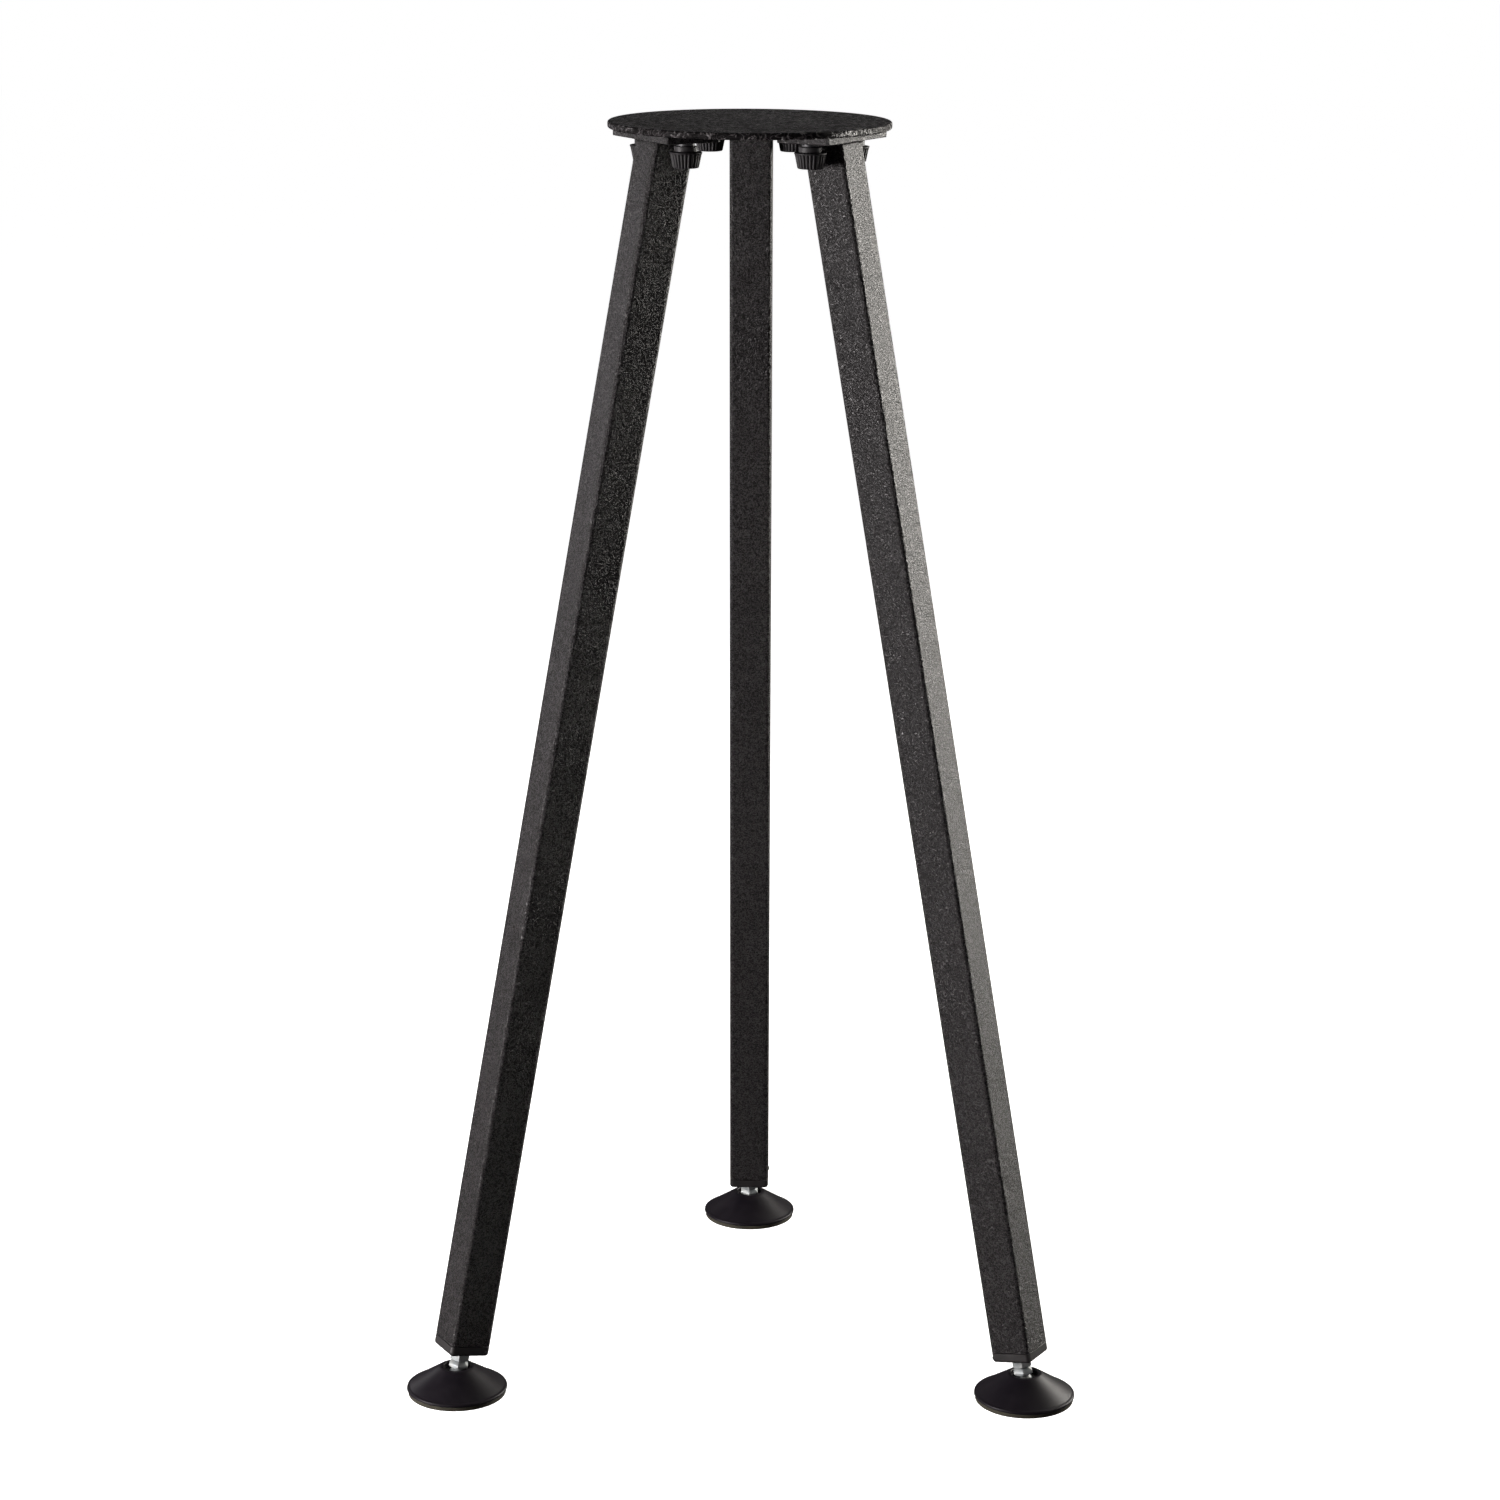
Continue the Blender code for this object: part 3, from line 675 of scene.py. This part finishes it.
def weld_shape(matrix):
    """Rippled, slightly hollow fillet weld round the tube's top."""
    count = 320
    across = 8
    ripples = 66
    top = plane_z(matrix, PLATE_BOX[0].z)
    half = TUBE_HALF + TOUCH
    straight = 2 * (half - TUBE_CORNER)
    quarter = math.pi / 2 * TUBE_CORNER
    around = 4 * (straight + quarter)
    ripple_length = around / ripples
    loops = []
    for i in range(count):
        reached = around * i / count
        side, along = divmod(reached, straight + quarter)
        turn = side * math.pi / 2
        if along < straight:
            x, y, facing = half, along - straight / 2, 0.0
        else:
            facing = (along - straight) / TUBE_CORNER
            x = half - TUBE_CORNER + TUBE_CORNER * math.cos(facing)
            y = straight / 2 + TUBE_CORNER * math.sin(facing)
        px = math.cos(turn) * x - math.sin(turn) * y
        py = math.sin(turn) * x + math.cos(turn) * y
        nx, ny = math.cos(facing + turn), math.sin(facing + turn)
        wave = abs(math.sin(math.pi * reached / ripple_length)) ** 0.7
        wander = 0.12 * math.sin(reached * 0.37) + 0.08 * math.sin(reached * 0.91 + 1.0)
        size = WELD_SIZE - 0.45 + 0.25 * wave + wander
        hollow = 0.95 - 0.22 * wave
        loop = []
        for k in range(across + 1):
            share = k / across
            out = size * share - hollow * math.sin(math.pi * share)
            down = size * (1 - share) - hollow * math.sin(math.pi * share)
            qx, qy = px + nx * out, py + ny * out
            loop.append((qx, qy, top(qx) - TOUCH - down))
        loop.append((px, py, top(px) - TOUCH))
        loops.append(loop)
    return loft(loops, closed=True)


def polar_loop(outline, z, radius):
    """Points at the outline's own angles, at a radius given by the angle."""
    points = []
    for x, y in outline:
        angle = math.atan2(y, x)
        r = radius(angle)
        points.append((r * math.cos(angle), r * math.sin(angle), z))
    return points


def dense_square(half, corner, side_points=6, steps=6):
    """A rounded square with extra points along its sides."""
    base = rounded_square(half, corner, steps)
    count = len(base)
    points = []
    for i, (x, y) in enumerate(base):
        points.append((x, y))
        if i % (steps + 1) == steps:
            nx, ny = base[(i + 1) % count]
            for k in range(1, side_points + 1):
                share = k / (side_points + 1)
                points.append((x + (nx - x) * share, y + (ny - y) * share))
    return points


def cap_shape():
    """Flush end cap: filleted flange below the tube, ribbed plug inside it, bore and hexagon pocket."""
    fillet = 2.2
    fillet_steps = 7
    bore = 4.6
    edge = 0.1
    rim = CAP_SEAM - 0.15
    plug = TUBE_HALF - TUBE_WALL - 0.3
    plug_corner = 0.9
    groove_depth = 0.8
    rib_pitch = 4.5
    grid = dense_square(TUBE_HALF, TUBE_CORNER)
    loops = [polar_loop(grid, CAP_END + 0.5, lambda a: bore), polar_loop(grid, CAP_END, lambda a: bore + 0.5)]
    for i in range(fillet_steps + 1):
        angle = math.pi / 2 * i / fillet_steps
        inset = fillet * (1 - math.sin(angle))
        outline = dense_square(TUBE_HALF - inset, TUBE_CORNER - inset)
        loops.append(flat_loop(outline, CAP_END + fillet * (1 - math.cos(angle))))
    loops.append(flat_loop(grid, rim - edge))
    loops.append(flat_loop(dense_square(TUBE_HALF - edge, TUBE_CORNER - edge), rim))
    rib = dense_square(plug, plug_corner)
    groove = dense_square(plug - groove_depth, 0.8)
    loops.append(flat_loop(rib, rim))
    z = CAP_SEAM
    for _ in range(3):
        loops.append(flat_loop(rib, z + 1.6))
        loops.append(flat_loop(groove, z + 1.9))
        loops.append(flat_loop(groove, z + 4.2))
        loops.append(flat_loop(rib, z + rib_pitch))
        z += rib_pitch
    loops.append(flat_loop(rib, CAP_TOP - 1.0))
    loops.append(flat_loop(dense_square(plug - 0.6, 0.8), CAP_TOP))
    pocket = hexagon(NUT_FLATS + 0.6)
    pocket_floor = CAP_TOP - CAPTIVE_NUT_HEIGHT - 2 * CAPTIVE_NUT_PLAY
    loops.append(polar_loop(grid, CAP_TOP, pocket))
    loops.append(polar_loop(grid, pocket_floor, pocket))
    loops.append(polar_loop(grid, pocket_floor, lambda a: bore))
    return loft(loops, closed=True)


def pip_shape():
    """Moulding pip, drawn on the cap's side face."""
    radius = 1.35
    sunk = 1.0
    from_corner = 3.5
    above_end = 2.6
    corners = [(0.0, -sunk, 0.0), (radius, -sunk, 0.0), (radius, 0.62, 0.3), (0.0, 0.68, 0.0)]
    bm = lathe(rounded(corners), 24)
    spot = Matrix.Translation((TUBE_HALF, TUBE_HALF - from_corner, CAP_END + above_end))
    bm.transform(spot @ Matrix.Rotation(math.pi / 2, 4, "Y"))
    return bm


def union(first, second):
    """One closed mesh out of two that overlap."""
    objects = []
    for bm in (first, second):
        bmesh.ops.recalc_face_normals(bm, faces=bm.faces[:])
        mesh = bpy.data.meshes.new("union_part")
        bm.to_mesh(mesh)
        bm.free()
        obj = bpy.data.objects.new("union_part", mesh)
        bpy.context.scene.collection.objects.link(obj)
        objects.append(obj)
    modifier = objects[0].modifiers.new("union", "BOOLEAN")
    modifier.operation = "UNION"
    modifier.solver = "EXACT"
    modifier.object = objects[1]
    bpy.context.view_layer.update()
    joined = bmesh.new()
    joined.from_object(objects[0], bpy.context.evaluated_depsgraph_get())
    for obj in objects:
        mesh = obj.data
        bpy.data.objects.remove(obj, do_unlink=True)
        bpy.data.meshes.remove(mesh)
    return joined


def nut_shape(low, high):
    """Hexagon nut between two heights, its corners turned to a cone at both faces."""
    steps = 5
    countersink = 0.5
    cone = math.radians(58)
    wall = hexagon(NUT_FLATS)
    depth = (NUT_CORNER - NUT_FACE) / math.tan(cone)
    loops = [circle(M8_BORE, low + countersink, HEX_SEGMENTS),
             circle(M8_BORE + countersink, low, HEX_SEGMENTS)]
    for i in range(steps + 1):
        share = i / steps
        r = NUT_FACE + (NUT_CORNER - NUT_FACE) * share
        loops.append(circle(r, low + depth * share, HEX_SEGMENTS, wall))
    for i in range(steps + 1):
        share = i / steps
        r = NUT_CORNER - (NUT_CORNER - NUT_FACE) * share
        loops.append(circle(r, high - depth * (1 - share), HEX_SEGMENTS, wall))
    loops.append(circle(M8_BORE + countersink, high, HEX_SEGMENTS))
    loops.append(circle(M8_BORE, high - countersink, HEX_SEGMENTS))
    return loft(loops, closed=True)


def levelling_stud_shape():
    """Ball, neck, domed hexagon collar and threaded shank."""
    neck = 4.2
    collar_low = 5.5
    collar_inner = 5.9
    shoulder = 7.4
    shoulder_steps = 5
    shoulder_rise = 1.3
    dome_steps = 8
    shank_segments = 24
    wall = hexagon(NUT_FLATS)
    segments = HEX_SEGMENTS
    neck_angle = math.degrees(math.acos(neck / BALL_RADIUS))
    loops = [circle(0.0, -BALL_RADIUS, segments)]
    loops += [circle(r, z, segments) for r, z in arc(0.0, BALL_RADIUS, -90, neck_angle, 14)[1:]]
    loops += [circle(neck, collar_low - 0.2, segments), circle(neck + 0.4, collar_low, segments),
              circle(collar_inner - 0.3, collar_low, segments)]
    for i in range(shoulder_steps + 1):
        angle = math.pi / 2 * i / shoulder_steps
        r = collar_inner + (NUT_CORNER - collar_inner) * math.sin(angle)
        loops.append(circle(r, collar_low + shoulder_rise * (1 - math.cos(angle)), segments, wall))
    for i in range(dome_steps + 1):
        share = i / dome_steps
        z = shoulder + (COLLAR_TOP - shoulder) * share
        size = 1 - 0.42 * share ** 1.45
        square_off = 1 - 0.55 * share
        ring = []
        for k in range(segments):
            angle = math.tau * k / segments
            flat = wall(angle) * size
            even = NUT_CORNER * size * 0.93
            r = flat * square_off + min(flat, even) * (1 - square_off)
            ring.append((r * math.cos(angle), r * math.sin(angle), z))
        loops.append(ring)
    loops.append(circle(M8_CREST + 0.1, COLLAR_TOP, segments))
    loops.append(circle(M8_ROOT, COLLAR_TOP + 0.3, segments))
    tip = 57.0
    tip_radius = 2.9
    shank = [circle(M8_ROOT, COLLAR_TOP - 0.5, shank_segments)]
    shank += thread(M8_CREST, M8_ROOT, M8_PITCH, COLLAR_TOP + 0.4, tip - 0.8, segments=shank_segments)
    shank += [circle(tip_radius, tip, shank_segments), circle(0.0, tip, shank_segments)]
    return union(loft(loops), loft(shank))


# A foot, about the ball's centre with Z upright

BALL_HEIGHT = ball_of("rear").z * 1000


def cup_shape():
    """Ball-shaped cup round the stud's ball, open above."""
    opening = 24.0
    outer_radius = 8.0
    inner_radius = 6.35
    outer = arc(0.0, outer_radius, -90, opening, 14)[1:]
    inner = arc(0.0, inner_radius, opening, -90, 14)[:-1]
    profile = [(0.0, -outer_radius)] + outer + inner + [(0.0, -inner_radius)]
    return lathe(profile, ROUND_SEGMENTS)


def pad_shape():
    """Shallow cone with a rounded lip and neck, and a ball-shaped cavity."""
    mouth = 9.6
    cavity_radius = 8.4
    corners = [
        (0.0, 3.0, 0.0),
        (34.7, 3.0, 0.25),
        (35.4, 3.75, 0.45),
        (35.2, 5.0, 0.75),
        (34.3, 5.45, 0.8),
        (33.4, 5.75, 1.2),
        (12.7, 19.05, 0.9),
        (11.7, 19.6, 0.4),
        (mouth + 0.35, 19.6, 0.3),
        (mouth, 19.2, 0.2),
        (mouth, 16.9, 0.0),
    ]
    outside = rounded(corners, steps=5)
    cavity = arc(BALL_HEIGHT, cavity_radius, 22, -90, 14)[:-1]
    profile = outside + cavity + [(0.0, BALL_HEIGHT - cavity_radius)]
    return lathe([(r, z - BALL_HEIGHT) for r, z in profile], PAD_SEGMENTS)


def sole_shape():
    """Rubber disc with rounded edge and ring grooves in its tread."""
    radius = 34.5
    thickness = 2.92
    groove_depth = 0.7
    draft = 0.4
    groove_width = 2.4
    edge = 0.15
    corners = [(0.0, 0.0, 0.0)]
    for ring in (10.0, 18.0, 26.0):
        corners += [(ring, 0.0, edge), (ring + draft, groove_depth, edge),
                    (ring + groove_width - draft, groove_depth, edge), (ring + groove_width, 0.0, edge)]
    corners += [(radius, 0.0, 0.5), (radius, thickness, 0.3), (0.0, thickness, 0.0)]
    profile = rounded(corners, steps=3)
    return lathe([(r, z - BALL_HEIGHT) for r, z in profile], PAD_SEGMENTS)


def build_top():
    disc_at = Matrix.Translation((DISC_MIDDLE.x, DISC_MIDDLE.y, DISC_LOW.z))
    put("steel_disc", disc_shape(), disc_at, "stand_frame", "powder_coat", "top_disc", sharp=50.0,
        look="disc_coat")
    for leg in LEGS:
        clamp = clamp_frame(leg)
        put("flat_bar_" + leg, plate_shape(), clamp, "stand_frame", "powder_coat", "mounting_plate_" + leg)
        for knob in KNOBS:
            tail = f"{leg}_{knob}"
            axis = stud_frame(leg, knob)
            hub = axis @ Matrix.Translation((0.0, 0.0, -HUB_DROP * 0.001))
            under_disc = axis.copy()
            under_disc.translation.z = DISC_LOW.z
            put("threaded_stud_" + tail, weld_stud_shape(), under_disc, "stand_frame", "stud_steel",
                "weld_stud_" + tail)
            put("flat_washer_" + tail, washer_shape(), axis, f"{leg}_washer_{knob}", "washer_black",
                "washer_" + tail)
            put("fluted_knob_" + tail, knob_shape(), hub, f"{leg}_knob_{knob}", "knob_plastic",
                "clamp_knob_" + tail, sharp=50.0)
            put("brass_insert_" + tail, insert_shape(), hub, f"{leg}_knob_{knob}", "brass",
                "knob_insert_" + tail)


def build_legs():
    for leg in LEGS:
        along = leg_frame(leg)
        upright = upright_frame(leg)
        quarter = along @ Matrix.Rotation(CAP_QUARTER_TURNS[leg] * math.pi / 2, 4, "Z")
        put("square_tube_" + leg, tube_shape(along), along, "stand_frame", "powder_coat", "leg_tube_" + leg)
        put("fillet_weld_" + leg, weld_shape(along), along, "stand_frame", "powder_coat", "weld_bead_" + leg)
        put("tube_cap_" + leg, union(cap_shape(), pip_shape()), quarter, "stand_frame", "cap_plastic",
            "end_cap_" + leg)
        nut_top = CAP_TOP - CAPTIVE_NUT_PLAY
        captive_nut = nut_shape(nut_top - CAPTIVE_NUT_HEIGHT, nut_top)
        put("nut_in_cap_" + leg, captive_nut, quarter, "stand_frame", "zinc_plate", "captive_nut_" + leg)
        lock_nut = nut_shape(COLLAR_TOP + 2 * TOUCH, CAP_END - 2 * TOUCH)
        put("lock_nut_" + leg, lock_nut, along, leg + "_jam_nut", "zinc_plate", "jam_nut_" + leg)
        put("ball_stud_" + leg, levelling_stud_shape(), along, leg + "_levelling_stud", "zinc_plate",
            "levelling_stud_" + leg)
        put("ball_cup_" + leg, cup_shape(), upright, leg + "_socket", "socket_plastic", "socket_cup_" + leg)
        put("cone_pad_" + leg, pad_shape(), upright, leg + "_foot", "pad_plastic", "foot_pad_" + leg)
        put("rubber_sole_" + leg, sole_shape(), upright, leg + "_foot", "sole_rubber", "foot_sole_" + leg)


# The studio

def stage_surface(name, bm, colour, glow):
    mesh = bpy.data.meshes.new(name)
    bm.to_mesh(mesh)
    bm.free()
    material, tree, shader, coords = new_material(name + "_paint", specular=0.0)
    shade = node(tree, "ShaderNodeTexNoise", {"Vector": coords, "Scale": 0.6, "Detail": 2.0})
    tone = spread(tree, shade.outputs["Fac"], 0.3, 0.7, 0.99, 1.0)
    tint = node(tree, "ShaderNodeVectorMath", {0: colour, 1: tone}, operation="MULTIPLY")
    tree.links.new(tint.outputs["Vector"], shader.inputs["Base Color"])
    shader.inputs["Roughness"].default_value = 1.0
    shader.inputs["Emission Color"].default_value = (1.0, 1.0, 1.0, 1.0)
    shader.inputs["Emission Strength"].default_value = glow
    mesh.materials.append(material)
    obj = bpy.data.objects.new(name, mesh)
    bpy.context.scene.collection.objects.link(obj)
    obj.visible_diffuse = False
    obj.visible_glossy = False
    obj.visible_transmission = False
    return obj


def softbox(name, position, target, width, height, watts, colour):
    """A soft area light, seen in reflections but not by the camera."""
    data = bpy.data.lights.new(name, "AREA")
    data.shape = "RECTANGLE"
    data.size = width
    data.size_y = height
    data.energy = watts
    data.color = colour
    light = bpy.data.objects.new(name, data)
    light.location = position
    light.rotation_mode = "QUATERNION"
    light.rotation_quaternion = (Vector(target) - Vector(position)).to_track_quat("-Z", "Y")
    light.visible_camera = False
    bpy.context.scene.collection.objects.link(light)
    return light


FLOOR_HEIGHT = -0.032   # clear of a foot that is screwed right out and tipped
FLOOR_RADIUS = 12.0
WALL_RADIUS = 11.9
WALL_HEIGHT = 16.0
WALL_SUNK = 0.1
ROOM_SEGMENTS = 96


def build_studio():
    floor = bmesh.new()
    bmesh.ops.create_circle(floor, cap_ends=True, radius=FLOOR_RADIUS, segments=ROOM_SEGMENTS)
    stage_surface("pale_floor", floor, (0.8, 0.8, 0.8), 0.975).location.z = FLOOR_HEIGHT
    wall = bmesh.new()
    bmesh.ops.create_cone(wall, cap_ends=False, radius1=WALL_RADIUS, radius2=WALL_RADIUS,
                          depth=WALL_HEIGHT, segments=ROOM_SEGMENTS)
    backdrop = stage_surface("pale_backdrop", wall, (0.0, 0.0, 0.0), 1.0)
    backdrop.location.z = WALL_HEIGHT / 2 - WALL_SUNK
    backdrop.visible_shadow = False
    world = bpy.data.worlds.new("studio_room")
    bpy.context.scene.world = world
    world.use_nodes = True
    world.node_tree.nodes["Background"].inputs["Color"].default_value = (0.030, 0.028, 0.029, 1.0)
    softbox("right_window", (2.0, 1.28, 0.95), (0.1, 0.0, 0.75), 0.8, 1.7, 105.0, (1.0, 0.965, 0.905))
    softbox("left_front", (-2.05, -0.95, 0.55), (0.1, 0.0, 0.55), 0.9, 0.8, 92.0, (1.0, 0.955, 0.955))
    softbox("right_front", (1.9, -1.35, 0.15), (0.0, 0.0, 0.3), 0.9, 0.7, 4.5, (1.0, 0.93, 0.95))
    softbox("left_back", (-1.75, 1.5, 0.72), (0.0, 0.0, 0.5), 0.9, 0.6, 4.5, (1.0, 0.97, 0.99))
    softbox("behind", (0.0, 2.7, 1.55), (0.0, 0.0, 0.88), 2.2, 0.5, 1.4, (1.0, 0.98, 0.99))
    softbox("overhead", (0.1, 0.5, 2.6), (0.0, 0.0, 0.8), 1.2, 1.2, 2.0, (1.0, 0.98, 0.99))


CAMERA_POSITION = Vector((0.04494, -2.61989, 1.10035))
CAMERA_TURN = math.radians(0.9505)  # from +Y towards -X
CAMERA_DIP = math.radians(14.445)
CAMERA_ROLL = math.radians(0.3172)  # turns the picture's content clockwise


def build_camera():
    data = bpy.data.cameras.new("camera")
    data.sensor_width = 36.0
    data.lens = 89.902
    data.clip_start = 0.05
    data.clip_end = 60.0
    camera = bpy.data.objects.new("camera", data)
    turn = Matrix.Rotation(CAMERA_TURN, 4, "Z")
    tilt = Matrix.Rotation(math.pi / 2 - CAMERA_DIP, 4, "X")
    roll = Matrix.Rotation(CAMERA_ROLL, 4, "Z")
    camera.matrix_world = Matrix.Translation(CAMERA_POSITION) @ turn @ tilt @ roll
    bpy.context.scene.collection.objects.link(camera)
    bpy.context.scene.camera = camera


build_top()
build_legs()
build_studio()
build_camera()
bpy.context.scene.view_settings.view_transform = "Standard"
bpy.context.view_layer.update()
